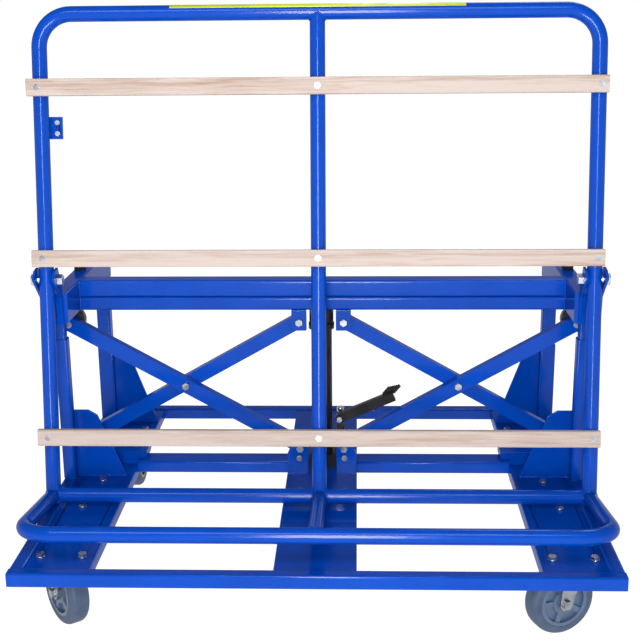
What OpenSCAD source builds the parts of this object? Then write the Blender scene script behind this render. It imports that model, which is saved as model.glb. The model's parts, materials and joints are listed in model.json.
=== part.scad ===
// Lift-and-tilt panel cart: a castored base, a scissor-lifted carriage and a tilting tube rack.
// Millimetres. +Z up, the rack faces -Y, origin on the floor under the middle of the base.
// Inside the deck() frame Y starts at the front face of the base and Z at its top edge.

/* [Base] */
// Width of the base across the front rail
base_w = 1250; // [1200:10:1300]
// Depth of the base, front to rear
base_d = 1015; // [1000:5:1060]
// Height of the base's top edge above the floor
deck_z = 190; // [188:1:200]
// Height of the base rails
edge_h = 31; // [28:1:36]
// Width of each side plate
plate_w = 160; // [150:1:175]
// Width of the centre plate
mid_w = 170; // [160:1:190]
// Side of a front guide sleeve
sleeve_w = 30; // [28:1:34]
// Side of a rear guide sleeve
rear_sleeve_w = 40; // [38:1:44]
// Height of the front sleeves above the deck
front_sleeve_h = 350; // [320:1:360]
// Height of the rear sleeves above the deck
rear_sleeve_h = 222; // [210:1:250]

/* [Rack] */
// Outside diameter of the rack tube
tube_d = 33.7; // [30:0.1:34]
// Wall of the rack tube
tube_wall = 2.6; // [2:0.2:3.2]
// Top bar above the tilt pivot, along the rack
rack_top = 582; // [540:1:620]
// Lip below the tilt pivot, along the rack
rack_bottom = 494; // [470:1:496]
// Reach of the lip in front of the rack
lip_depth = 298; // [270:1:310]
// Centreline radius of the tube bends
bend_r = 72; // [60:1:85]
// Lean of the rack at rest, degrees
lean = 8.5; // [7:0.5:9]
// Height of a timber slat
slat_h = 37; // [34:1:46]
// Thickness of a timber slat
slat_t = 16; // [14:1:20]
// Upper slat above the pivot
slat_hi = 423; // [390:1:440]
// Middle slat above the pivot
slat_mid = 50; // [50:1:60]
// Lower slat below the pivot
slat_lo = 354; // [330:1:370]

/* [Lift] */
// Inner scissor pins off the middle
pin_in = 53; // [52:1:58]
// Lower scissor pins above the deck
pin_lo = 60; // [58:1:64]
// Upper scissor pins above the deck
pin_hi = 371; // [366:1:374]
// Height of a scissor link
link_h = 34; // [30:1:38]
// Depth of a scissor link
link_t = 24; // [20:1:26]
// Scissor roller radius
roller_r = 30; // [27:1:31]
// Height of the carriage beam
beam_h = 73; // [68:1:80]
// Depth of the carriage beam
beam_t = 50; // [48:1:54]
// Radius of the jack barrel
barrel_r = 25; // [24:1:27]
// Radius of the jack ram
ram_r = 16; // [14:1:18]

/* [Castors] */
// Wheel diameter
wheel_d = 150; // [140:1:152]
// Tread width
wheel_w = 46; // [40:1:48]
// Trail of the swivel castors
trail = 20; // [16:1:30]

/* [Hidden] */
$fn = 64;
fit = 0.05;
tube_r = tube_d / 2;
rack_x = base_w / 2 - 15;
flange_w = 30;
front_rail_d = 28;
sheet = 4;
corner_r = 5;
plate_t = 5;
plate_top = -sheet;
plate_low = plate_top - plate_t;
plate_out = base_w / 2 - sheet;
plate_in = plate_out - plate_w;
flange_in = base_w / 2 - flange_w;
rear_y = base_d - 33;
cross_y = 570;
cross_w = 60;
cross_top = 10;
pin_out = rack_x - 7;
half_link = sqrt(pow(pin_out - pin_in, 2) + pow(pin_hi - pin_lo, 2)) / 2;
link_a = atan2(pin_hi - pin_lo, pin_out - pin_in);
link_mid_x = (pin_out + pin_in) / 2;
link_mid_z = (pin_hi + pin_lo) / 2;
pin_r = 6;
link_gap = 3;
beam_y = 560;
bracket_t = 10;
back_y = beam_y + bracket_t + link_gap;
front_y = back_y - link_gap - link_t;
roller_w = 32;
up_y = front_y + link_t + 6;
low_y = back_y + link_t + 6;
track_y0 = low_y - 14;
track_y1 = low_y + roller_w + 14;
track_in = plate_in - 21;
beam_z = pin_hi + roller_r + 0.3;
beam_top = beam_z + beam_h;
track_z = pin_lo - roller_r - 0.3;
rail_in = rack_x - 35;
rail_out = rack_x + 7;
pivot_y = 410;
rail_y0 = pivot_y + 31;
pad_h = 20.5;
pivot_z = beam_top + pad_h + 0.35 + tube_r;
lug_t = 6;
lug_in = rack_x - 19 - lug_t;
lug_out = rack_x + 19;
rear_x = rack_x - 16;
front_wall = 3;
rear_wall = 2;
front_post_y = front_y - 46;
rear_post_y = base_d - 125;
rail_y1 = rear_post_y + rear_sleeve_w / 2 + 2;
inner_gap = 0.3;
slat_off = -4;
jack_y = beam_y + beam_t / 2;
pedal_x = 42;
pedal_z = 117;
pedal_a = 23.5;
pedal_y = jack_y + 12;
pump_x = 44;
pump_y = jack_y + 39;
jack_back = jack_y + 52;
castor_x = plate_in + 71;
castor_f = 137;
castor_b = base_d - 137;
bolt_dx = 44;
bolt_dy = 50;
castor_t = 5;
castor_low = plate_low - castor_t;
axle_z = wheel_d / 2 - deck_z;
axle_r = 6;

blue = [0.05, 0.2, 0.75];
zinc = [0.75, 0.76, 0.78];
black = [0.05, 0.05, 0.06];
timber = [0.85, 0.72, 0.6];
grey = [0.4, 0.43, 0.48];

// Frames and small shapes

module deck() {
    translate([0, -base_d / 2, deck_z]) children();
}

module rack_frame() {
    deck() translate([0, pivot_y, pivot_z]) rotate([-lean, 0, 0]) children();
}

// A box from one corner to the opposite one
module block(a, b) {
    translate(a) cube([b[0] - a[0], b[1] - a[1], b[2] - a[2]]);
}

module both() {
    children();
    mirror([1, 0, 0]) children();
}

// A round bar along Y from y0 to y1
module ybar(x, z, y0, y1, r) {
    translate([x, y0, z]) rotate([-90, 0, 0]) cylinder(r = r, h = y1 - y0);
}

// A round bar along X from x0 to x1
module xbar(y, z, x0, x1, r) {
    translate([x0, y, z]) rotate([0, 90, 0]) cylinder(r = r, h = x1 - x0);
}

// A hexagon bar along +Z, af across flats
module hex(af, h) {
    cylinder(r = af / sqrt(3), h = h, $fn = 6);
}

// A plate in the YZ plane between x0 and x1
module yz_plate(points, x0, x1) {
    translate([x0, 0, 0]) rotate([90, 0, 90]) linear_extrude(height = x1 - x0) polygon(points);
}

// A plate in the XZ plane between y0 and y1
module xz_plate(points, y0, y1) {
    translate([0, y1, 0]) rotate([90, 0, 0]) linear_extrude(height = y1 - y0) polygon(points);
}

// A rectangle with round corners, from corner a to corner b
module soft_rect(a, b, r) {
    translate([a[0] + r, a[1]]) square([b[0] - a[0] - 2 * r, b[1] - a[1]]);
    translate([a[0], a[1] + r]) square([b[0] - a[0], b[1] - a[1] - 2 * r]);
    for (x = [a[0] + r, b[0] - r], y = [a[1] + r, b[1] - r]) translate([x, y]) circle(r = r);
}

// The section of a box tube with rolled corners
module box_section(a, b, wall) {
    difference() {
        soft_rect(a, b, corner_r);
        translate([a[0] + wall, a[1] + wall]) square([b[0] - a[0] - 2 * wall, b[1] - a[1] - 2 * wall]);
    }
}

// A box tube along X with closed ends and a drain hole underneath, from section corner a to b
module closed_tube(x0, x1, a, b, wall) {
    difference() {
        translate([x0, 0, 0]) rotate([90, 0, 90]) linear_extrude(height = x1 - x0) soft_rect(a, b, corner_r);
        block([x0 + wall, a[0] + wall, a[1] + wall], [x1 - wall, b[0] - wall, b[1] - wall]);
        translate([(x0 + x1) / 2, (a[0] + b[0]) / 2, a[1] - 1]) cylinder(r = 4, h = wall + 2);
    }
}

// A square tube along Z with its middle at x, y
module square_tube(x, y, w, wall, z0, z1) {
    translate([0, 0, z0]) linear_extrude(height = z1 - z0)
        box_section([x - w / 2, y - w / 2], [x + w / 2, y + w / 2], wall);
}

// Base

module front_rail() {
    color(blue) deck() closed_tube(-base_w / 2, base_w / 2, [0, -edge_h], [front_rail_d, 0], sheet);
}

module rear_rail() {
    color(blue) deck() closed_tube(-base_w / 2, base_w / 2, [rear_y, -edge_h], [base_d, 0], sheet);
}

module chassis_sides() {
    color(blue) deck() both() rotate([0, 0, 90])
        closed_tube(front_rail_d, rear_y, [-base_w / 2, -edge_h], [-flange_in, 0], sheet);
}

module castor_holes(r) {
    for (cy = [castor_f, castor_b], dx = [-bolt_dx, bolt_dx], dy = [-bolt_dy, bolt_dy])
        translate([castor_x + dx, cy + dy, plate_low - 1]) cylinder(r = r, h = plate_t + 2);
}

module side_plates() {
    color(blue) deck() both() difference() {
        block([plate_in, front_rail_d, plate_low], [flange_in, rear_y, plate_top]);
        castor_holes(5 + fit);
    }
}

module centre_plate() {
    color(blue) deck() block([-mid_w / 2, front_rail_d, plate_low], [mid_w / 2, rear_y, plate_top]);
}

// Stiffening lips under the inner edges of the plates
module plate_lips() {
    color(blue) deck() both() {
        block([plate_in, front_rail_d, -edge_h], [plate_in + sheet, rear_y, plate_low]);
        block([mid_w / 2 - sheet, front_rail_d, -edge_h], [mid_w / 2, rear_y, plate_low]);
    }
}

// Box rails between the plates
module cross_rails() {
    color(blue) deck() both()
        closed_tube(mid_w / 2, plate_in, [cross_y, cross_top - 30], [cross_y + cross_w, cross_top], 3);
}

// Raised tracks that the lower rollers run on
module roller_tracks() {
    out = rack_x + 2;
    color(blue) deck() both() xz_plate([[track_in, cross_top], [plate_in, cross_top], [plate_in, plate_top],
        [flange_in, plate_top], [flange_in, 0], [out, 0], [out, track_z], [track_in, track_z]],
        track_y0, track_y1);
}

// A guide sleeve that stands on the side rail and the side plate
module sleeve(x, y, w, wall, top) {
    difference() {
        square_tube(x, y, w, wall, plate_top, top);
        block([flange_in, y - 100, plate_top - 1], [base_w, y + 100, 0]);
    }
}

module front_sleeves() {
    color(blue) deck() both()
        sleeve(rack_x, front_post_y, sleeve_w, front_wall, front_sleeve_h);
}

module rear_sleeves() {
    color(blue) deck() both()
        sleeve(rear_x, rear_post_y, rear_sleeve_w, rear_wall, rear_sleeve_h);
}

// Wide plates that brace the sleeves against the side plates
module gussets() {
    outer = rack_x + sleeve_w / 2;
    inner = rear_x - rear_sleeve_w / 2;
    y = front_post_y + sleeve_w / 2;
    color(blue) deck() both() {
        xz_plate([[outer, 0], [flange_in, 0], [flange_in, plate_top], [plate_in + 17, plate_top],
            [rack_x - 69, 152], [rack_x - 48, 165], [outer, 165]], y, y + 6);
        xz_plate([[inner, plate_top], [plate_in, plate_top], [rear_x - 61, rear_sleeve_h - 26],
            [inner, rear_sleeve_h - 7]], rear_post_y - 6, rear_post_y);
    }
}

// Plates on the centre plate in front of the front links
module low_brackets() {
    y = front_y - link_gap - bracket_t;
    color(blue) deck() both() difference() {
        xz_plate([[pin_in - 18, plate_top], [mid_w / 2 - 1, plate_top], [mid_w / 2 - 1, pin_lo - 14],
            [pin_in + 16, pin_lo + 20], [pin_in - 18, pin_lo + 20]], y, y + bracket_t);
        ybar(pin_in, pin_lo, y - 1, y + bracket_t + 1, pin_r + fit);
    }
}

// Pins of the front links and the lower bolts of their brackets
module low_pins() {
    y = front_y - link_gap - bracket_t;
    y_nut = front_y + link_t + 0.5;
    color(zinc) deck() both() {
        ybar(pin_in, pin_lo, y, y_nut, pin_r);
        translate([pin_in, y, pin_lo]) rotate([90, 0, 0]) hex(16, 6);
        translate([pin_in, y_nut, pin_lo]) rotate([-90, 0, 0]) hex(19, 7);
        ybar(pin_in, pin_lo, front_y - link_gap, front_y - 0.3, pin_r + 4);
        translate([pin_in + 2, y, pin_lo - 24]) rotate([90, 0, 0]) hex(13, 5);
    }
}

// Castor bolts and the low bolt heads under and behind the lip's rear bar
module base_bolts() {
    color(zinc) deck() both() {
        for (cy = [castor_f, castor_b], dx = [-bolt_dx, bolt_dx], dy = [-bolt_dy, bolt_dy])
            translate([castor_x + dx, cy + dy, 0]) {
                translate([0, 0, plate_top]) cylinder(r = 9.5, h = 1.6);
                translate([0, 0, plate_top + 1.6]) hex(16, 6.4);
                translate([0, 0, castor_low - 10]) cylinder(r = 5, h = plate_top - castor_low + 10);
                translate([0, 0, castor_low - 7]) hex(16, 7);
            }
        for (p = [[castor_x + 13, pivot_y - 73], [castor_x - 2, front_post_y - 12]])
            translate([p[0], p[1], plate_top]) {
                cylinder(r = 9.5, h = 1.6);
                translate([0, 0, 1.6]) hex(16, 6.4);
            }
    }
}

// Hydraulic jack

module jack_base() {
    color(black) deck() difference() {
        union() {
            block([-33, jack_y - 15, plate_top], [33, jack_back, 30]);
            block([33, jack_y - 4, plate_top], [pump_x + 14, jack_back, 30]);
            translate([pump_x, pump_y, 29]) cylinder(r = 11, h = 60);
            for (y = [pedal_y - 15, pedal_y + 9])
                block([pedal_x - 5, y, 29], [pedal_x + 8, y + 6, pedal_z + 9]);
        }
        translate([pump_x, pump_y, 40]) cylinder(r = 6 + fit, h = 60);
        translate([0, jack_back - 26, 12]) rotate([-90, 0, 0]) cylinder(r = 4 + fit, h = 40);
        ybar(pedal_x, pedal_z, pedal_y - 30, pedal_y + 30, 4 + fit);
        translate([0, jack_y, 20]) cylinder(r = ram_r + 0.4, h = 20);
    }
}

module jack_barrel() {
    color(black) deck() translate([0, jack_y, 30]) difference() {
        union() {
            cylinder(r = barrel_r, h = beam_z - 66);
            translate([0, 0, beam_z - 80]) cylinder(r = barrel_r + 6, h = 15);
        }
        translate([0, 0, -1]) cylinder(r = ram_r + 0.4, h = 400);
    }
}

module jack_ram() {
    color(black) deck() translate([0, jack_y, 0]) {
        translate([0, 0, 24]) cylinder(r = ram_r, h = beam_z - 24);
        translate([0, 0, beam_z - 33]) cylinder(r = barrel_r + 4, h = 33);
    }
}

module pedal_pin() {
    color(zinc) deck() {
        ybar(pedal_x, pedal_z, pedal_y - 15, pedal_y + 15, 4);
        ybar(pedal_x, pedal_z, pedal_y - 17, pedal_y - 15, 7);
        ybar(pedal_x, pedal_z, pedal_y + 15, pedal_y + 17, 7);
    }
}

module plunger() {
    color(zinc) deck() translate([pump_x, pump_y, 0]) {
        translate([0, 0, 60]) cylinder(r = 6, h = 76);
        translate([0, 0, 126]) cylinder(r = 9, h = 10);
    }
}

// Lever on its pin, with a slanted tread plate at the end
module pedal() {
    color(black) deck() translate([pedal_x, pedal_y, pedal_z]) rotate([0, -pedal_a, 0]) difference() {
        union() {
            ybar(0, 0, -8, 8, 10);
            block([0, -8, -12], [146, 8, 12]);
            translate([146, 0, 12]) rotate([0, 0, -28]) block([-18, -18, 0], [18, 18, 6]);
        }
        ybar(0, 0, -20, 20, 4 + fit);
    }
}

module release_knob() {
    color(black) deck() translate([0, jack_back + 0.3, 12]) rotate([-90, 0, 0]) {
        translate([0, 0, -16]) cylinder(r = 4, h = 20);
        cylinder(r = 11, h = 16);
    }
}

// Castors: +X is the way the wheel trails

module castor_plate() {
    difference() {
        block([-bolt_dx - 14, -bolt_dy - 14, castor_low], [bolt_dx + 14, bolt_dy + 14, plate_low]);
        for (dx = [-bolt_dx, bolt_dx], dy = [-bolt_dy, bolt_dy])
            translate([dx, dy, castor_low - 1]) cylinder(r = 5 + fit, h = castor_t + 2);
    }
    translate([0, 0, castor_low - 9]) cylinder(r = 33, h = 9);
    translate([0, 0, castor_low - 14]) cylinder(r = 7, h = 6);
}

module castor_plates() {
    color(zinc) deck() both() for (y = [castor_f, castor_b]) translate([castor_x, y, 0]) castor_plate();
}

module castor_fork() {
    crown = castor_low - 9.4;
    leg = [[-24, crown - 1], [24, crown - 1], [trail + 15, axle_z - 4], [trail + 9, axle_z - 14],
        [trail - 9, axle_z - 14], [trail - 15, axle_z - 4]];
    leg_y = wheel_w / 2 + 3;
    color(zinc) {
        difference() {
            union() {
                translate([0, 0, crown - 4]) cylinder(r = 35, h = 4);
                block([-24, -leg_y - 4, crown - 4], [24, leg_y + 4, crown]);
                xz_plate(leg, -leg_y - 4, -leg_y);
                xz_plate(leg, leg_y, leg_y + 4);
            }
            translate([0, 0, crown - 10]) cylinder(r = 7.3, h = 20);
            translate([0, 0, crown - 24]) cylinder(r = 30, h = 20);
            ybar(trail, axle_z, -60, 60, axle_r + fit);
        }
        ybar(trail, axle_z, -leg_y - 4, leg_y + 4, axle_r);
        translate([trail, -leg_y - 4, axle_z]) rotate([90, 0, 0]) hex(18, 7);
        translate([trail, leg_y + 4, axle_z]) rotate([-90, 0, 0]) hex(18, 8);
    }
}

// Tread with round shoulders
module tyre() {
    r = wheel_d / 2;
    w = wheel_w / 2;
    s = 14;
    bed = 19.8;
    color(grey) rotate([90, 0, 0]) rotate_extrude() intersection() {
        translate([r - bed, -w]) square([bed, 2 * w]);
        union() {
            translate([r - bed, -w]) square([bed - s, 2 * w]);
            translate([r - bed, s - w]) square([bed, 2 * w - 2 * s]);
            for (k = [-1, 1]) translate([r - s, k * (w - s)]) circle(r = s);
        }
    }
}

// Wheel centre: rim, web, broad boss and five ribs
module hub() {
    r = wheel_d / 2 - 20;
    w = wheel_w / 2;
    recess = 9;
    color(grey) rotate([90, 0, 0]) difference() {
        union() {
            difference() {
                translate([0, 0, 1 - w]) cylinder(r = r, h = 2 * w - 2);
                for (z = [-w, w - recess]) translate([0, 0, z]) cylinder(r = r - 8, h = recess);
            }
            translate([0, 0, -w - 2]) cylinder(r = 17, h = 2 * w + 4);
            translate([0, 0, 2 - w]) cylinder(r = 26, h = 2 * w - 4);
            for (a = [0:72:288])
                rotate([0, 0, a]) translate([14, -6, 3 - w]) cube([r - 18, 12, 2 * w - 6]);
        }
        translate([0, 0, -w - 5]) cylinder(r = axle_r + fit, h = 2 * w + 10);
    }
}

module castor_place(x, y, a) {
    deck() translate([x, y, 0]) rotate([0, 0, a]) children();
}

module wheel_place(x, y, a) {
    castor_place(x, y, a) translate([trail, 0, axle_z]) children();
}

module castor_fork_fl() {
    castor_place(-castor_x, castor_f, 128) castor_fork();
}

module hub_fl() {
    wheel_place(-castor_x, castor_f, 128) hub();
}

module tyre_fl() {
    wheel_place(-castor_x, castor_f, 128) tyre();
}

module castor_fork_fr() {
    castor_place(castor_x, castor_f, 203) castor_fork();
}

module hub_fr() {
    wheel_place(castor_x, castor_f, 203) hub();
}

module tyre_fr() {
    wheel_place(castor_x, castor_f, 203) tyre();
}

module castor_fork_rl() {
    castor_place(-castor_x, castor_b, 90) castor_fork();
}

module hub_rl() {
    wheel_place(-castor_x, castor_b, 90) hub();
}

module tyre_rl() {
    wheel_place(-castor_x, castor_b, 90) tyre();
}

module castor_fork_rr() {
    castor_place(castor_x, castor_b, 90) castor_fork();
}

module hub_rr() {
    wheel_place(castor_x, castor_b, 90) hub();
}

module tyre_rr() {
    wheel_place(castor_x, castor_b, 90) tyre();
}

// Carriage

module beam() {
    color(blue) deck() translate([-rail_in, 0, 0]) rotate([90, 0, 90]) linear_extrude(height = 2 * rail_in)
        box_section([beam_y, beam_z], [beam_y + beam_t, beam_top], 3);
}

module carriage_rails() {
    color(blue) deck() both() rotate([0, 0, 90])
        closed_tube(rail_y0, rail_y1, [-rail_out, beam_z], [-rail_in, beam_top], 3);
}

// Guide tubes that slide in the sleeves
module inner_tubes() {
    front_w = sleeve_w - 2 * front_wall - 2 * inner_gap;
    rear_w = rear_sleeve_w - 2 * rear_wall - 2 * inner_gap;
    color(blue) deck() both() {
        square_tube(rack_x, front_post_y, front_w, 2.5, 15, beam_z);
        square_tube(rear_x, rear_post_y, rear_w, 2.5, 15, beam_z);
    }
}

// Pointed ears round the tilt pivot on a web across the front end of each carriage rail
module tilt_forks() {
    ear = [[pivot_y - 34, pivot_z + 8], [pivot_y - 16, pivot_z + 24], [pivot_y + 9, pivot_z + 27],
        [pivot_y + 31, beam_top + 8], [pivot_y + 31, beam_z + 4], [pivot_y + 24, beam_z + 10],
        [pivot_y + 20, pivot_z - 46]];
    color(blue) deck() both() difference() {
        union() {
            yz_plate(ear, lug_in, lug_in + lug_t);
            yz_plate(ear, lug_out, lug_out + lug_t);
            block([lug_in, rail_y0 - 6, beam_z], [lug_out + lug_t, rail_y0, beam_top]);
        }
        xbar(pivot_y, pivot_z, lug_in - 5, lug_out + 20, 8 + fit);
    }
}

// Plates under the front of the beam that carry the rear links
module top_brackets() {
    color(blue) deck() both() difference() {
        block([pin_in - 18, beam_y, pin_hi - 20], [pin_in + 18, beam_y + bracket_t, beam_z]);
        ybar(pin_in, pin_hi, beam_y - 1, beam_y + bracket_t + 1, pin_r + fit);
    }
}

module pivot_bolts() {
    color(zinc) deck() both() {
        xbar(pivot_y, pivot_z, lug_in, lug_out + lug_t, 8);
        translate([lug_out + lug_t, pivot_y, pivot_z]) rotate([0, 90, 0]) hex(24, 9);
        translate([lug_in, pivot_y, pivot_z]) rotate([0, -90, 0]) hex(24, 12);
    }
}

// Rubber stops under the pivot that the rack leans on
module stop_pads() {
    z = pivot_z - 72;
    y = pivot_y - 72 * tan(lean) + tube_r / cos(lean) + 0.3;
    color(black) deck() both() block([rack_x - 10, y, z - 20], [rack_x + 10, rail_y0 - 6, z]);
}

// Rubber rests for the rack tubes when the rack lies flat
module rest_pads() {
    color(black) deck() both()
        block([rack_x - 20, 668, beam_top], [rack_x + 2, 704, beam_top + pad_h]);
}

// Scissor links: a bar with round ends, drawn along X about its middle

module link_bar(y) {
    difference() {
        union() {
            block([-half_link, y, -link_h / 2], [half_link, y + link_t, link_h / 2]);
            for (x = [-half_link, half_link]) ybar(x, 0, y, y + link_t, link_h / 2);
        }
        for (x = [-half_link, 0, half_link]) ybar(x, 0, y - 1, y + link_t + 1, pin_r + fit);
        for (x = [-half_link / 2, half_link / 2])
            block([x - half_link / 2 + 20, y + 3, 3 - link_h / 2],
                [x + half_link / 2 - 20, y + link_t + 1, link_h / 2 - 3]);
    }
}

// The front link climbs outwards, the rear link climbs inwards
module front_link_frame() {
    deck() translate([link_mid_x, 0, link_mid_z]) rotate([0, -link_a, 0]) children();
}

module rear_link_frame() {
    deck() translate([link_mid_x, 0, link_mid_z]) rotate([0, link_a, 0]) children();
}

module front_link_right() {
    color(blue) front_link_frame() link_bar(front_y);
}

module front_link_left() {
    mirror([1, 0, 0]) front_link_right();
}

module rear_link_right() {
    color(blue) rear_link_frame() link_bar(back_y);
}

module rear_link_left() {
    mirror([1, 0, 0]) rear_link_right();
}

// A bolt along Y with a hexagon at both ends and a collar from c0 to c1
module link_pin(x, y0, y1, c0, c1) {
    ybar(x, 0, y0, y1, pin_r);
    translate([x, y0, 0]) rotate([90, 0, 0]) hex(16, 6);
    translate([x, y1, 0]) rotate([-90, 0, 0]) hex(19, 7);
    ybar(x, 0, c0, c1, pin_r + 4);
}

// Middle pin and upper roller axle
module front_pins_right() {
    y = front_y + link_t;
    color(zinc) front_link_frame() {
        link_pin(0, front_y, back_y + link_t + 0.5, y, y + link_gap - 0.3);
        link_pin(half_link, front_y, y + 38.3, y, y + 5.7);
    }
}

module front_pins_left() {
    mirror([1, 0, 0]) front_pins_right();
}

// Upper bracket pin and lower roller axle
module rear_pins_right() {
    y = back_y + link_t;
    color(zinc) rear_link_frame() {
        link_pin(-half_link, beam_y - 0.5, y, beam_y + bracket_t + 0.3, back_y);
        link_pin(half_link, back_y, y + 38.3, y, y + 5.7);
    }
}

module rear_pins_left() {
    mirror([1, 0, 0]) rear_pins_right();
}

module roller(x, z, y) {
    color(black) deck() difference() {
        union() {
            ybar(x, z, y + 2, y + roller_w - 2, roller_r);
            ybar(x, z, y, y + roller_w, roller_r - 4);
        }
        ybar(x, z, y - 1, y + roller_w + 1, pin_r + fit);
    }
}

module upper_roller_right() {
    roller(pin_out, pin_hi, up_y);
}

module upper_roller_left() {
    mirror([1, 0, 0]) upper_roller_right();
}

module lower_roller_right() {
    roller(pin_out, pin_lo, low_y);
}

module lower_roller_left() {
    mirror([1, 0, 0]) lower_roller_right();
}

// Rack

// Both uprights, the bends and the top bar as solid bars of radius r
module hoop_bars(r, low) {
    both() {
        translate([rack_x, 0, low]) cylinder(r = r, h = rack_top - bend_r - low);
        translate([rack_x - bend_r, 0, rack_top - bend_r]) rotate([90, 0, 0])
            rotate_extrude(angle = 90) translate([bend_r, 0]) circle(r = r);
    }
    xbar(0, rack_top, bend_r - rack_x, rack_x - bend_r, r);
}

module slat_holes(r) {
    for (z = [slat_hi, slat_mid, -slat_lo], x = [-rack_x, 0, rack_x])
        ybar(x, z, -tube_r - slat_t - 2, -tube_r + 9, r);
}

module hoop() {
    low = -rack_bottom - tube_r;
    color(blue) rack_frame() difference() {
        hoop_bars(tube_r, low);
        hoop_bars(tube_r - tube_wall, low + 4);
        slat_holes(3 + fit);
        both() xbar(0, 0, rack_x - 40, rack_x + 40, 8 + fit);
    }
}

module centre_post() {
    low = -rack_bottom - tube_r;
    color(blue) rack_frame() difference() {
        translate([0, 0, low]) cylinder(r = tube_r, h = rack_top - low);
        translate([0, 0, low + 4]) cylinder(r = tube_r - tube_wall, h = rack_top - low);
        xbar(0, rack_top, -60, 60, tube_r);
        slat_holes(3 + fit);
    }
}

// Bent loop of the lip, at tube radius r
module lip_loop(r) {
    z = -rack_bottom;
    both() {
        ybar(rack_x, z, bend_r - lip_depth, 0, r);
        translate([rack_x - bend_r, bend_r - lip_depth, z]) rotate([0, 0, -90])
            rotate_extrude(angle = 90) translate([bend_r, 0]) circle(r = r);
    }
    xbar(-lip_depth, z, bend_r - rack_x, rack_x - bend_r, r);
}

// Lip: the loop between the uprights, the bar behind it and the centre bar, each cut to fit the next
module lip_frame() {
    z = -rack_bottom;
    bore = tube_r - tube_wall;
    bar_r = tube_r - 0.2;
    color(blue) rack_frame() {
        difference() {
            lip_loop(tube_r);
            lip_loop(bore);
            both() translate([rack_x, 0, z - 40]) cylinder(r = tube_r, h = 80);
        }
        both() difference() {
            xbar(0, z, 0, rack_x, bar_r);
            xbar(0, z, -1, rack_x + 1, bore);
            for (x = [0, rack_x]) {
                translate([x, 0, z - 40]) cylinder(r = tube_r, h = 80);
                ybar(x, z, -60, 0, tube_r);
            }
        }
        difference() {
            ybar(0, z, -lip_depth, 0, bar_r);
            ybar(0, z, -lip_depth - 1, 1, bore);
            xbar(-lip_depth, z, -60, 60, tube_r);
            translate([0, 0, z - 40]) cylinder(r = tube_r, h = 80);
        }
    }
}

// Three timber slats across the front of the tubes
module slats() {
    color(timber) rack_frame() difference() {
        for (z = [slat_hi, slat_mid, -slat_lo])
            translate([slat_off - rack_x - 20, 0, z]) rotate([90, 0, 90])
            linear_extrude(height = 2 * rack_x + 40)
                soft_rect([-tube_r - slat_t, -slat_h / 2], [-tube_r, slat_h / 2], 2);
        slat_holes(3 + fit);
        for (z = [slat_hi, slat_mid, -slat_lo], x = [-rack_x, 0, rack_x])
            ybar(x, z, -tube_r - slat_t - 1, -tube_r - slat_t + 4, 7 + fit);
    }
}

// Small plate behind the left upright
module catch_plate() {
    color(blue) rack_frame() difference() {
        block([-rack_x, tube_r, 313], [-rack_x + 42, tube_r + 5, 362]);
        for (z = [325, 349]) ybar(-rack_x + 31, z, tube_r - 1, tube_r + 6, 3 + fit);
    }
}

// Sunk slat screws and the two bolts of the catch plate
module rack_screws() {
    color(zinc) rack_frame() {
        for (z = [slat_hi, slat_mid, -slat_lo], x = [-rack_x, 0, rack_x]) {
            ybar(x, z, -tube_r - slat_t + 1, -tube_r + 8, 3);
            ybar(x, z, -tube_r - slat_t + 0.6, -tube_r - slat_t + 4, 7);
        }
        for (z = [325, 349]) {
            ybar(-rack_x + 31, z, tube_r, tube_r + 5, 3);
            ybar(-rack_x + 31, z, tube_r - 4, tube_r, 5.5);
            ybar(-rack_x + 31, z, tube_r + 5, tube_r + 9, 5.5);
        }
    }
}

front_rail();
rear_rail();
chassis_sides();
side_plates();
centre_plate();
plate_lips();
cross_rails();
roller_tracks();
front_sleeves();
rear_sleeves();
gussets();
low_brackets();
low_pins();
base_bolts();
castor_plates();
jack_base();
jack_barrel();
pedal_pin();
release_knob();
pedal();
plunger();
castor_fork_fl();
castor_fork_fr();
castor_fork_rl();
castor_fork_rr();
hub_fl();
hub_fr();
hub_rl();
hub_rr();
tyre_fl();
tyre_fr();
tyre_rl();
tyre_rr();
beam();
carriage_rails();
inner_tubes();
tilt_forks();
top_brackets();
pivot_bolts();
stop_pads();
rest_pads();
jack_ram();
front_link_left();
front_link_right();
rear_link_left();
rear_link_right();
front_pins_left();
front_pins_right();
rear_pins_left();
rear_pins_right();
upper_roller_left();
upper_roller_right();
lower_roller_left();
lower_roller_right();
hoop();
centre_post();
lip_frame();
slats();
catch_plate();
rack_screws();
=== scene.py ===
"""Looks of a lift-and-tilt panel cart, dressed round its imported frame."""

import json
import math

import bmesh
import bpy
from bpy.props import FloatProperty, IntProperty, PointerProperty, StringProperty
from bpy.types import Operator, Panel, PropertyGroup
from mathutils import Matrix, Vector


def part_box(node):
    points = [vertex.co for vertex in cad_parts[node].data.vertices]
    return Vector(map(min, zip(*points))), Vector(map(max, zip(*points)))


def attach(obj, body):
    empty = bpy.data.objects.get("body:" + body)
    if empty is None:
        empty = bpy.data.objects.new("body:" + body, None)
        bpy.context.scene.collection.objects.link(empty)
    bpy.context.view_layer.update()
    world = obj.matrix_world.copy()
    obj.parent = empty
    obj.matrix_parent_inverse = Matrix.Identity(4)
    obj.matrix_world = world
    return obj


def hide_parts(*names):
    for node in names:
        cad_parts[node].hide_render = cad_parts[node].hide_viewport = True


bl_info = {
    "name": "Panel Cart Looks",
    "version": (1, 0, 0),
    "blender": (4, 5, 0),
    "location": "View3D > Sidebar > Panel Cart",
    "description": "Finishes, weld beads, tape and studio for a lift-and-tilt panel cart",
    "category": "Object",
}

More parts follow.
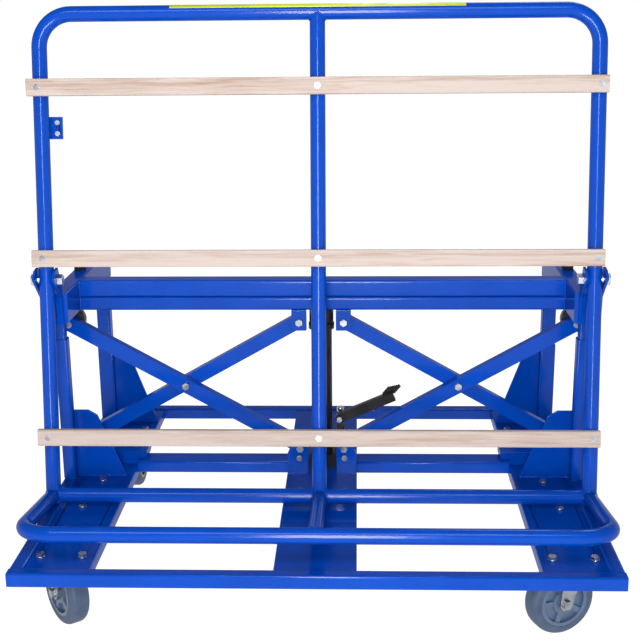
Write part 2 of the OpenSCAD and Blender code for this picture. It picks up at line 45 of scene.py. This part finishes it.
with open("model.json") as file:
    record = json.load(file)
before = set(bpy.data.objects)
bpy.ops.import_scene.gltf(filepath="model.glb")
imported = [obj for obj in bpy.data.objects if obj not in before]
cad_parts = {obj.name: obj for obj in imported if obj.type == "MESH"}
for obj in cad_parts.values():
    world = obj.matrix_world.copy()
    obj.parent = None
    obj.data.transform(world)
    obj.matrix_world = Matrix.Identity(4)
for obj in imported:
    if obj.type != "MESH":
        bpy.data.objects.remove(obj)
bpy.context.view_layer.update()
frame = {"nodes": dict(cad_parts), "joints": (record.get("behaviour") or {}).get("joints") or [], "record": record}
RECORD = frame["record"]
NODES = frame["nodes"]
JOINTS = {joint["name"]: joint for joint in frame["joints"]}

# The rack leans: its pivot comes from the tilt joint and its slope from the slat face
PIVOT = Vector(JOINTS["tilt"]["pos_m"])
SLAT_NORMAL = next(Vector(m["axis"]) for m in RECORD["mounts"] if m["name"] == "top_slat_face")
LEAN = math.atan2(SLAT_NORMAL.z, -SLAT_NORMAL.y)
RACK = Matrix.Translation(PIVOT) @ Matrix.Rotation(-LEAN, 4, "X")
RACK_BACK = RACK.inverted()

MM = 0.001
# Edges that turn by more than this are rounded, or are shaded as sharp
SHARP = math.radians(40)
# Points along one ripple of a weld bead, and how far the bead swells and thins on it
RIPPLE_POINTS = 3
RIPPLE_SWELL = 0.14
SLOTS = {part["node"]: part["material_slot"] for part in RECORD["subparts"]}


def rack_box(node):
    """Lowest and highest corner of a CAD node in the leaning rack's own axes."""
    points = [RACK_BACK @ v.co for v in NODES[node].data.vertices]
    low = Vector([min(p[i] for p in points) for i in range(3)])
    high = Vector([max(p[i] for p in points) for i in range(3)])
    return low, high


POST_LOW, POST_HIGH = rack_box("centre_post")
TUBE_R = (POST_HIGH.x - POST_LOW.x) / 2
HOOP_HIGH = rack_box("hoop")[1]
RACK_X = HOOP_HIGH.x - TUBE_R
TOP_V = HOOP_HIGH.z - TUBE_R
LIP_LOW, LIP_HIGH = rack_box("lip_frame")
LIP_V = (LIP_LOW.z + LIP_HIGH.z) / 2
LIP_N = LIP_LOW.y + TUBE_R


class CartSizes(PropertyGroup):
    """Sizes of the small work that the frame leaves to the eye."""

    bead: FloatProperty(
        name="Weld bead", description="Radius of a weld bead", default=2.4 * MM, unit="LENGTH")
    ripple: FloatProperty(
        name="Weld ripple", description="Spacing of ripples along a bead", default=5 * MM, unit="LENGTH")
    corner: FloatProperty(
        name="Tube corner", description="Corner radius of the beam's tubes", default=6 * MM, unit="LENGTH")
    edge: FloatProperty(
        name="Edge", description="Rounding of cut sheet and bar edges", default=1.2 * MM, unit="LENGTH")
    bolt_edge: FloatProperty(
        name="Bolt edge", description="Rounding of bolts and pins", default=0.5 * MM, unit="LENGTH")
    tape_length: FloatProperty(
        name="Tape", description="Length of the tape on the top bar", default=640 * MM, unit="LENGTH")
    tape_thick: FloatProperty(
        name="Tape thickness", description="How far the tape stands off", default=0.4 * MM, unit="LENGTH")
    ribs: IntProperty(name="Pedal ribs", description="Grip ribs across the pedal's tread", default=6)


class CartLooks(PropertyGroup):
    """Colours as sRGB hex values."""

    blue: StringProperty(name="Blue", description="Powder coat", default="#003792")
    blue_pale: StringProperty(name="Pale blue", description="Thinner powder coat", default="#023C9D")
    black: StringProperty(name="Black", description="Paint of the jack and pedal", default="#0A0A0C")
    black_dusty: StringProperty(name="Dusty black", description="Black under dust", default="#1D1D20")
    zinc: StringProperty(name="Zinc", description="Bright zinc plating", default="#D2D5DA")
    zinc_shaded: StringProperty(name="Shaded zinc", description="Darker zinc spangle", default="#A9ADB4")
    zinc_dull: StringProperty(name="Dull zinc", description="Zinc of castors and pins", default="#74787E")
    timber_pale: StringProperty(name="Pale wood", description="Early wood of the slats", default="#A89B94")
    timber_dark: StringProperty(name="Grain", description="Late wood of the slats", default="#8A7161")
    tread: StringProperty(name="Tread", description="Elastic rubber of the wheels", default="#33425A")
    tread_dusty: StringProperty(name="Dusty tread", description="Wheels under dust", default="#465366")
    centre: StringProperty(name="Wheel centre", description="Moulded wheel centres", default="#43597A")
    nylon: StringProperty(name="Nylon", description="Scissor rollers", default="#101012")
    rubber: StringProperty(name="Rubber", description="Stops and rests", default="#141414")
    tape: StringProperty(name="Tape", description="Plain tape on the top bar", default="#C6D21E")
    tape_worn: StringProperty(name="Worn tape", description="Tape that has rubbed", default="#B2BC2A")
    floor: StringProperty(name="Floor", description="Glow of the studio floor", default="#FFFFFF")
    floor_shade: StringProperty(name="Shade", description="Floor under its glow", default="#6A6A6A")


def sizes():
    """The scene's sizes."""
    return bpy.context.scene.cart_sizes


def looks():
    """The scene's colours."""
    return bpy.context.scene.cart_looks


# Materials

def linear(code):
    """An sRGB hex colour as linear RGBA."""
    parts = [int(code[i:i + 2], 16) / 255 for i in (1, 3, 5)]
    return [c / 12.92 if c <= 0.04045 else ((c + 0.055) / 1.055) ** 2.4 for c in parts] + [1.0]


def add(tree, kind, links=(), **settings):
    """A node of that kind: settings fill its properties or inputs, links are (input, output socket)."""
    made = tree.nodes.new(kind)
    for name, value in settings.items():
        if hasattr(made, name):
            setattr(made, name, value)
        else:
            made.inputs[name.replace("_", " ")].default_value = value
    for target, source in links:
        tree.links.new(source, made.inputs[target])
    return made


def surface(name, **values):
    """A new material with its shader's sockets set, its node tree and that shader."""
    made = bpy.data.materials.new(name)
    made.use_nodes = True
    shader = made.node_tree.nodes["Principled BSDF"]
    for key, value in values.items():
        shader.inputs[key.replace("_", " ")].default_value = value
    return made, made.node_tree, shader


def blend(tree, shader, source, span, tones):
    """Base colour that goes from one tone to the other as a value crosses a span."""
    tone = add(tree, "ShaderNodeValToRGB", [("Fac", source)])
    for element, position, code in zip(tone.color_ramp.elements, span, tones):
        element.position = position
        element.color = linear(code)
    tree.links.new(tone.outputs["Color"], shader.inputs["Base Color"])


# Span of the noise over which a patch changes from one tone to the other
PATCH_SPAN = (0.3, 0.7)


def weather(tree, shader, grit, depth, patch, rough, tones):
    """Grit as bump, and broad patches that shift between two tones and between two roughnesses."""
    place = add(tree, "ShaderNodeTexCoord")
    grain = add(
        tree, "ShaderNodeTexNoise", [("Vector", place.outputs["Object"])], Scale=1 / grit, Detail=2.0)
    bump = add(tree, "ShaderNodeBump", [("Height", grain.outputs["Fac"])], Strength=1.0, Distance=depth)
    tree.links.new(bump.outputs["Normal"], shader.inputs["Normal"])
    broad = add(
        tree, "ShaderNodeTexNoise", [("Vector", place.outputs["Object"])], Scale=1 / patch, Detail=3.0)
    gloss = add(
        tree, "ShaderNodeMapRange", [("Value", broad.outputs["Fac"])],
        From_Min=PATCH_SPAN[0], From_Max=PATCH_SPAN[1], To_Min=rough[0], To_Max=rough[1])
    tree.links.new(gloss.outputs["Result"], shader.inputs["Roughness"])
    blend(tree, shader, broad.outputs["Fac"], PATCH_SPAN, tones)


def powder_coat():
    """Baked polyester powder: an even blue under a glossy skin, with orange peel and slight smears."""
    made, tree, shader = surface(
        "blue_powder_coat", Specular_IOR_Level=0.0, Coat_Weight=0.36, Coat_Roughness=0.14)
    weather(
        tree, shader, grit=7 * MM, depth=0.02 * MM, patch=90 * MM, rough=(0.3, 0.42),
        tones=(looks().blue, looks().blue_pale))
    return made


def black_enamel():
    """Sprayed black enamel: a soft sheen that dust dulls in places."""
    made, tree, shader = surface("black_enamel", Specular_IOR_Level=0.25)
    weather(
        tree, shader, grit=4 * MM, depth=0.05 * MM, patch=45 * MM, rough=(0.32, 0.55),
        tones=(looks().black, looks().black_dusty))
    return made


def bright_zinc():
    """Zinc plate on turned steel: a light grey mirror broken up by the plating's spangle."""
    made, tree, shader = surface("bright_zinc", Metallic=1.0)
    weather(
        tree, shader, grit=2 * MM, depth=0.02 * MM, patch=8 * MM, rough=(0.2, 0.36),
        tones=(looks().zinc, looks().zinc_shaded))
    return made


def dull_zinc():
    """Thick zinc on pressed steel, gone dull: darker and rougher than the bolts, in soft patches."""
    made, tree, shader = surface("dull_zinc", Metallic=1.0)
    weather(
        tree, shader, grit=3 * MM, depth=0.04 * MM, patch=18 * MM, rough=(0.34, 0.5),
        tones=(looks().zinc_dull, looks().zinc_shaded))
    return made


def raw_timber():
    """Planed softwood with no finish: pale wood with darker grain lines that run along the slat."""
    made, tree, shader = surface("raw_timber", Roughness=0.72, IOR=1.45)
    place = add(tree, "ShaderNodeTexCoord")
    # The grain reaches 25 times as far along the slat as across it
    grain_width = 5 * MM
    cloud_width = 24 * MM
    grain_reach = 25
    grain_span = (0.2, 0.44)
    stretch = add(
        tree, "ShaderNodeMapping", [("Vector", place.outputs["Object"])],
        Scale=(1 / grain_reach, 1.0, 1.0))
    grain = add(
        tree, "ShaderNodeTexNoise", [("Vector", stretch.outputs["Vector"])],
        Scale=1 / grain_width, Detail=4.0, Roughness=0.62, Distortion=0.6)
    cloud = add(
        tree, "ShaderNodeTexNoise", [("Vector", stretch.outputs["Vector"])],
        Scale=1 / cloud_width, Detail=2.0)
    both = add(
        tree, "ShaderNodeMath",
        [(0, grain.outputs["Fac"]), (1, cloud.outputs["Fac"])], operation="MULTIPLY")
    blend(tree, shader, both.outputs["Value"], grain_span, (looks().timber_pale, looks().timber_dark))
    bump = add(
        tree, "ShaderNodeBump", [("Height", grain.outputs["Fac"])], Strength=0.6, Distance=0.2 * MM)
    tree.links.new(bump.outputs["Normal"], shader.inputs["Normal"])
    return made


def elastic_tread():
    """Cast grey elastic rubber: dull, with a faint bloom and dust."""
    made, tree, shader = surface("elastic_tread", Specular_IOR_Level=0.25)
    weather(
        tree, shader, grit=3 * MM, depth=0.08 * MM, patch=30 * MM, rough=(0.48, 0.66),
        tones=(looks().tread, looks().tread_dusty))
    return made


def moulded_centre():
    """Moulded nylon wheel centre: a satin grey with a spark-eroded grain."""
    made, tree, shader = surface("moulded_centre")
    weather(
        tree, shader, grit=1.5 * MM, depth=0.04 * MM, patch=25 * MM, rough=(0.34, 0.48),
        tones=(looks().centre, looks().tread_dusty))
    return made


def roller_nylon():
    """Turned black nylon: nearly black, with the soft sheen of fine tool marks."""
    made, tree, shader = surface("roller_nylon", Specular_IOR_Level=0.15)
    weather(
        tree, shader, grit=1.5 * MM, depth=0.03 * MM, patch=20 * MM, rough=(0.36, 0.52),
        tones=(looks().nylon, looks().black_dusty))
    return made


def moulded_rubber():
    """Moulded black rubber: dull, with a grey bloom in places."""
    made, tree, shader = surface("moulded_rubber", Specular_IOR_Level=0.12)
    weather(
        tree, shader, grit=2 * MM, depth=0.06 * MM, patch=15 * MM, rough=(0.7, 0.9),
        tones=(looks().rubber, looks().black_dusty))
    return made


def plain_tape():
    """Vinyl tape: bright and a little glossy, with shallow wrinkles where it was laid by hand."""
    made, tree, shader = surface("plain_tape")
    weather(
        tree, shader, grit=12 * MM, depth=0.15 * MM, patch=60 * MM, rough=(0.32, 0.5),
        tones=(looks().tape, looks().tape_worn))
    return made


FINISHES = {
    "blue_paint": powder_coat,
    "black_paint": black_enamel,
    "zinc": bright_zinc,
    "dull_zinc": dull_zinc,
    "timber": raw_timber,
    "tread": elastic_tread,
    "wheel_centre": moulded_centre,
    "black_nylon": roller_nylon,
    "rubber": moulded_rubber,
}


def finish_of(finish):
    """The material of a finish, made once."""
    for made in bpy.data.materials:
        if made.get("cart_finish") == finish:
            return made
    made = FINISHES[finish]()
    made["cart_finish"] = finish
    return made


# Pieces

def keep(mesh, name, body, slot, material=None):
    """Puts a finished mesh in the scene as a piece that moves with a body."""
    piece = bpy.data.objects.new(name, mesh)
    bpy.context.scene.collection.objects.link(piece)
    mesh.materials.append(material or finish_of(slot))
    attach(piece, body)
    return piece


def soften(piece, width):
    """Rounds the sharp edges of a piece by a small width, live."""
    edge = piece.modifiers.new("edge", "BEVEL")
    edge.width = width
    edge.segments = 2
    edge.limit_method = "ANGLE"
    edge.angle_limit = SHARP
    edge.harden_normals = True


def bead_mesh(runs, radius):
    """Weld beads along several runs of points, with ripples, as one mesh."""
    curve = bpy.data.curves.new("bead", "CURVE")
    curve.dimensions = "3D"
    curve.bevel_depth = radius
    curve.bevel_resolution = 1
    curve.use_fill_caps = True
    for points in runs:
        spline = curve.splines.new("POLY")
        spline.points.add(len(points) - 1)
        for i, point in enumerate(points):
            spline.points[i].co = (*point, 1.0)
            spline.points[i].radius = 1.0 + RIPPLE_SWELL * math.sin(i * math.tau / RIPPLE_POINTS)
    holder = bpy.data.objects.new("bead", curve)
    bpy.context.scene.collection.objects.link(holder)
    bpy.context.view_layer.update()
    mesh = bpy.data.meshes.new_from_object(holder.evaluated_get(bpy.context.evaluated_depsgraph_get()))
    bpy.data.objects.remove(holder)
    bpy.data.curves.remove(curve)
    mesh.shade_smooth()
    return mesh


def straight(start, end):
    """Points of a straight bead."""
    start, end = Vector(start), Vector(end)
    count = max(2, int((end - start).length / (sizes().ripple / RIPPLE_POINTS)))
    return [start.lerp(end, i / count) for i in range(count + 1)]


def saddle(centre, along, across):
    """Points where a tube that leaves along meets an equal tube that runs across, in rack axes."""
    along, across = Vector(along), Vector(across)
    side = along.cross(across)
    count = int(math.tau * TUBE_R / (sizes().ripple / RIPPLE_POINTS))
    points = []
    for i in range(count + 1):
        angle = math.tau * i / count
        reach = TUBE_R * math.sqrt(max(0.0, 1 - math.sin(angle) ** 2))
        offset = across * (TUBE_R * math.cos(angle)) + side * (TUBE_R * math.sin(angle))
        points.append(RACK @ (Vector(centre) + along * reach + offset))
    return points


class CART_OT_finishes(Operator):
    """Give every CAD piece the finish of its material slot, and round its cut edges"""

    bl_idname = "cart.finishes"
    bl_label = "Finishes"

    # Pieces that keep the mesh of their solids: round tube, and long or fine pieces with small bores
    AS_CUT = ("hoop", "centre_post", "lip_frame", "castor_fork_", "hub_", "front_link_", "rear_link_")
    # Pieces in zinc that has gone dull
    DULL = ("castor_", "front_pins_", "rear_pins_", "low_pins", "rack_screws")
    MERGE = 0.01 * MM

    def execute(self, context):
        for name, piece in NODES.items():
            piece.data.materials.clear()
            finish = "dull_zinc" if name.startswith(self.DULL) else SLOTS[name]
            piece.data.materials.append(finish_of(finish))
            if name.startswith(self.AS_CUT):
                continue
            join = piece.modifiers.new("join", "WELD")
            join.merge_threshold = self.MERGE
            soften(piece, sizes().bolt_edge if SLOTS[name] == "zinc" else sizes().edge)
        return {"FINISHED"}


class CART_OT_rack_welds(Operator):
    """Weld beads where the tubes of the rack meet"""

    bl_idname = "cart.rack_welds"
    bl_label = "Rack welds"

    def execute(self, context):
        right, back, up = (1, 0, 0), (0, 1, 0), (0, 0, 1)
        left, front, down = (-1, 0, 0), (0, -1, 0), (0, 0, -1)
        runs = [
            saddle((0, 0, TOP_V), down, right),
            saddle((0, 0, LIP_V), front, right),
            saddle((0, LIP_N, LIP_V), back, right),
        ]
        for side in (-1, 1):
            inward = left if side > 0 else right
            runs.append(saddle((side * RACK_X, 0, LIP_V), inward, up))
            runs.append(saddle((side * RACK_X, 0, LIP_V), front, up))
            runs.append(saddle((0, 0, LIP_V), right if side > 0 else left, up))
        keep(bead_mesh(runs, sizes().bead), "rack_welds", "rack", "blue_paint")
        return {"FINISHED"}


class CART_OT_frame_welds(Operator):
    """Weld beads of the gussets, sleeves and brackets on the base and the carriage"""

    bl_idname = "cart.frame_welds"
    bl_label = "Frame welds"

    # How near a corner has to be to count as lying on a face
    NEAR = 1 * MM

    def execute(self, context):
        base_runs = []
        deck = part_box("side_plates")[1].z
        for node in ("front_sleeves", "rear_sleeves"):
            low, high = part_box(node)
            width = high.y - low.y
            for side in (-1, 1):
                outer = side * high.x
                inner = side * (high.x - width)
                base_runs.append(straight((inner, low.y, low.z), (inner, high.y, low.z)))
                base_runs.append(straight((inner, low.y, low.z), ((inner + outer) / 2, low.y, low.z)))
        for node in ("low_brackets", "gussets"):
            low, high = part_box(node)
            corners = [v.co for v in NODES[node].data.vertices]
            foot = [abs(c.x) for c in corners if c.z < deck + self.NEAR and c.y < low.y + self.NEAR]
            for side in (-1, 1):
                inner, outer = side * min(foot), side * max(foot)
                base_runs.append(straight((inner, low.y, deck), (outer, low.y, deck)))
        keep(bead_mesh(base_runs, sizes().bead), "base_welds", "base", "blue_paint")
        carriage_runs = []
        low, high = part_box("beam")
        for side in (-1, 1):
            x = side * high.x
            carriage_runs.append(straight((x, low.y, low.z), (x, low.y, high.z)))
            carriage_runs.append(straight((x, low.y, high.z), (x, high.y, high.z)))
            carriage_runs.append(straight((x, high.y, low.z), (x, high.y, high.z)))
        keep(bead_mesh(carriage_runs, sizes().bead), "carriage_welds", "carriage", "blue_paint")
        return {"FINISHED"}


class CART_OT_beam(Operator):
    """The cross beam: two box tubes laid one on the other"""

    bl_idname = "cart.beam"
    bl_label = "Cross beam"

    # Share of the height that the lower tube takes, and the gap at the seam
    SEAM = 0.45
    GAP = 0.4 * MM
    CORNER_STEPS = 5

    def execute(self, context):
        low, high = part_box("beam")
        middle = (low + high) / 2
        length, depth, height = high - low
        seam = low.z + self.SEAM * height
        shape = bmesh.new()
        for bottom, top in ((low.z, seam - self.GAP), (seam, high.z)):
            made = bmesh.ops.create_cube(shape, size=1.0)["verts"]
            bmesh.ops.scale(shape, vec=(length, depth, top - bottom), verts=made)
            bmesh.ops.translate(shape, vec=(middle.x, middle.y, (bottom + top) / 2), verts=made)
        corners = [edge for edge in shape.edges if math.isclose(edge.calc_length(), length, rel_tol=1e-4)]
        bmesh.ops.bevel(
            shape, geom=corners, offset=sizes().corner, segments=self.CORNER_STEPS, profile=0.5,
            affect="EDGES", material=-1)
        mesh = bpy.data.meshes.new("beam_tubes")
        shape.to_mesh(mesh)
        shape.free()
        mesh.shade_smooth()
        mesh.set_sharp_from_angle(angle=SHARP)
        piece = keep(mesh, "beam_tubes", "carriage", SLOTS["beam"])
        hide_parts("beam")
        flat = piece.modifiers.new("flat", "WEIGHTED_NORMAL")
        flat.keep_sharp = True
        return {"FINISHED"}


class CART_OT_tape(Operator):
    """Plain tape laid along the upper side of the top bar"""

    bl_idname = "cart.tape"
    bl_label = "Top bar tape"

    # How far the strip comes down on either side of the tube's top
    WRAP = math.radians(60)
    STEPS = 16
    # Share of the stand-off that the strip itself fills
    FILL = 0.6

    def execute(self, context):
        length = sizes().tape_length
        radius = TUBE_R + sizes().tape_thick
        shape = bmesh.new()
        start = Vector((-length / 2, -radius * math.sin(self.WRAP), radius * math.cos(self.WRAP)))
        first = shape.verts.new(start)
        second = shape.verts.new(start + Vector((length, 0, 0)))
        edge = shape.edges.new((first, second))
        bmesh.ops.spin(
            shape, geom=[edge, first, second], cent=(0, 0, 0), axis=(-1, 0, 0),
            angle=2 * self.WRAP, steps=self.STEPS)
        bmesh.ops.recalc_face_normals(shape, faces=shape.faces)
        bmesh.ops.solidify(shape, geom=shape.faces[:], thickness=sizes().tape_thick * self.FILL)
        bmesh.ops.transform(shape, matrix=RACK @ Matrix.Translation((0, 0, TOP_V)), verts=shape.verts)
        mesh = bpy.data.meshes.new("top_bar_tape")
        shape.to_mesh(mesh)
        shape.free()
        mesh.shade_smooth()
        keep(mesh, "top_bar_tape", "rack", "blue_paint", plain_tape())
        return {"FINISHED"}


class CART_OT_pedal_grip(Operator):
    """Grip ribs across the tread of the foot pedal"""

    bl_idname = "cart.pedal_grip"
    bl_label = "Pedal grip"

    # The tread plate on the pedal's arm: its place along the arm, its top and its width
    PLATE_MIDDLE = 146 * MM
    PLATE_TOP = 18 * MM
    PLATE_WIDTH = 36 * MM
    # Climb of the arm and turn of the plate on it
    SLOPE = math.radians(23.5)
    SLANT = math.radians(-28)
    # A rib's share of its step and of the plate's width, its height, lift and rounding
    RIB_SHARE = 0.45
    RIB_REACH = 0.9
    RIB_HEIGHT = 3 * MM
    RIB_LIFT = 0.6 * MM
    RIB_EDGE = 0.6 * MM

    def execute(self, context):
        pivot = Vector(JOINTS["pedal_press"]["pos_m"])
        arm = Matrix.Translation(pivot) @ Matrix.Rotation(-self.SLOPE, 4, "Y")
        place = arm @ Matrix.Translation((self.PLATE_MIDDLE, 0, 0)) @ Matrix.Rotation(self.SLANT, 4, "Z")
        shape = bmesh.new()
        step = self.PLATE_WIDTH / sizes().ribs
        for i in range(sizes().ribs):
            along = (i + 0.5) * step - self.PLATE_WIDTH / 2
            made = bmesh.ops.create_cube(shape, size=1.0)["verts"]
            size = (step * self.RIB_SHARE, self.PLATE_WIDTH * self.RIB_REACH, self.RIB_HEIGHT)
            bmesh.ops.scale(shape, vec=size, verts=made)
            bmesh.ops.translate(shape, vec=(along, 0, self.PLATE_TOP + self.RIB_LIFT), verts=made)
        bmesh.ops.bevel(
            shape, geom=shape.edges[:], offset=self.RIB_EDGE, segments=2, profile=0.5,
            affect="EDGES", material=-1)
        bmesh.ops.transform(shape, matrix=place, verts=shape.verts)
        mesh = bpy.data.meshes.new("pedal_grip")
        shape.to_mesh(mesh)
        shape.free()
        keep(mesh, "pedal_grip", "pedal_arm", "black_paint")
        return {"FINISHED"}


class CART_OT_stage(Operator):
    """Pale floor, soft studio light and a camera at the viewing angle"""

    bl_idname = "cart.stage"
    bl_label = "Stage"

    # Camera: where it stands, how it is turned, and its lens and sensor in millimetres
    CAMERA = Vector((86.6, -2594.6, 1298.6)) * MM
    PITCH = math.radians(15.43)
    YAW = math.radians(1.93)
    ROLL = math.radians(-0.535)
    LENS = 64.86
    SENSOR = 36.0
    # Floor: half its width in metres and the strength of its glow
    FLOOR_HALF = 300.0
    FLOOR_GLOW = 0.98
    # Sky: (height, brightness) at the horizon, just above it and overhead
    HORIZON = (0.0, 1.0)
    HAZE = (0.1, 0.72)
    OVERHEAD = (0.4, 0.26)
    # Lights: name, place, aim, size in metres, power in watts
    SOFTBOXES = (
        ("key_strip", (0.0, -3.0, 1.1), (0.0, 0.0, 1.1), (0.55, 1.8), 98),
        ("top_box", (-0.2, -2.4, 3.0), (0.0, 0.0, 0.5), (2.6, 1.0), 52),
        ("back_box", (1.2, 2.2, 3.2), (0.0, 0.0, 0.5), (1.5, 1.5), 40),
    )

    def floor(self):
        """A white floor out to the horizon."""
        shape = bmesh.new()
        bmesh.ops.create_grid(shape, x_segments=1, y_segments=1, size=self.FLOOR_HALF)
        mesh = bpy.data.meshes.new("studio_floor")
        shape.to_mesh(mesh)
        shape.free()
        made = bpy.data.objects.new("studio_floor", mesh)
        bpy.context.scene.collection.objects.link(made)
        # Its own glow keeps it white where the lights don't reach
        paper = surface(
            "floor_paper", Base_Color=linear(looks().floor_shade), Roughness=0.9, Specular_IOR_Level=0.0,
            Emission_Color=linear(looks().floor), Emission_Strength=self.FLOOR_GLOW)[0]
        mesh.materials.append(paper)

    def softbox(self, name, place, aim, size, power):
        """A rectangular light that looks at a point."""
        lamp = bpy.data.lights.new(name, "AREA")
        lamp.shape = "RECTANGLE"
        lamp.size, lamp.size_y = size
        lamp.energy = power
        made = bpy.data.objects.new(name, lamp)
        bpy.context.scene.collection.objects.link(made)
        made.location = place
        made.rotation_euler = (Vector(aim) - Vector(place)).to_track_quat("-Z", "Y").to_euler()

    def camera(self):
        """The camera, turned by its yaw, pitch and roll."""
        forward = Vector((
            -math.sin(self.YAW) * math.cos(self.PITCH),
            math.cos(self.YAW) * math.cos(self.PITCH),
            -math.sin(self.PITCH)))
        right = forward.cross(Vector((0, 0, 1))).normalized()
        up = right.cross(forward)
        tilted_right = right * math.cos(self.ROLL) + up * math.sin(self.ROLL)
        tilted_up = up * math.cos(self.ROLL) - right * math.sin(self.ROLL)
        data = bpy.data.cameras.new("camera")
        data.sensor_width = self.SENSOR
        data.lens = self.LENS
        made = bpy.data.objects.new("camera", data)
        bpy.context.scene.collection.objects.link(made)
        turn = Matrix((tilted_right, tilted_up, -forward)).transposed()
        made.matrix_world = Matrix.Translation(self.CAMERA) @ turn.to_4x4()
        bpy.context.scene.camera = made

    def sky(self):
        """A sky that is white at the horizon and dimmer overhead."""
        world = bpy.data.worlds.new("studio")
        world.use_nodes = True
        tree = world.node_tree
        place = add(tree, "ShaderNodeTexCoord")
        height = add(tree, "ShaderNodeSeparateXYZ", [("Vector", place.outputs["Generated"])])
        walls = add(tree, "ShaderNodeValToRGB", [("Fac", height.outputs["Z"])])
        steps = walls.color_ramp.elements
        for element, (position, level) in zip(steps, (self.HORIZON, self.OVERHEAD)):
            element.position = position
            element.color = (level, level, level, 1.0)
        position, level = self.HAZE
        steps.new(position).color = (level, level, level, 1.0)
        tree.links.new(walls.outputs["Color"], tree.nodes["Background"].inputs["Color"])
        bpy.context.scene.world = world

    def execute(self, context):
        context.scene.view_settings.view_transform = "Standard"
        self.sky()
        self.floor()
        for softbox in self.SOFTBOXES:
            self.softbox(*softbox)
        self.camera()
        return {"FINISHED"}


class CART_PT_panel(Panel):
    """Lists the steps of the cart's looks in the sidebar"""

    bl_idname = "CART_PT_panel"
    bl_label = "Panel Cart"
    bl_space_type = "VIEW_3D"
    bl_region_type = "UI"
    bl_category = "Panel Cart"

    def draw(self, context):
        for operator in OPERATORS:
            self.layout.operator(operator.bl_idname)


OPERATORS = (
    CART_OT_finishes,
    CART_OT_rack_welds,
    CART_OT_frame_welds,
    CART_OT_beam,
    CART_OT_tape,
    CART_OT_pedal_grip,
    CART_OT_stage,
)
CLASSES = (CartSizes, CartLooks, *OPERATORS, CART_PT_panel)


def register():
    for each in CLASSES:
        bpy.utils.register_class(each)
    bpy.types.Scene.cart_sizes = PointerProperty(type=CartSizes)
    bpy.types.Scene.cart_looks = PointerProperty(type=CartLooks)


def unregister():
    del bpy.types.Scene.cart_looks
    del bpy.types.Scene.cart_sizes
    for each in reversed(CLASSES):
        bpy.utils.unregister_class(each)


def main():
    register()
    bpy.ops.cart.finishes()
    bpy.ops.cart.rack_welds()
    bpy.ops.cart.frame_welds()
    bpy.ops.cart.beam()
    bpy.ops.cart.tape()
    bpy.ops.cart.pedal_grip()
    bpy.ops.cart.stage()


if __name__ == "__main__":
    main()
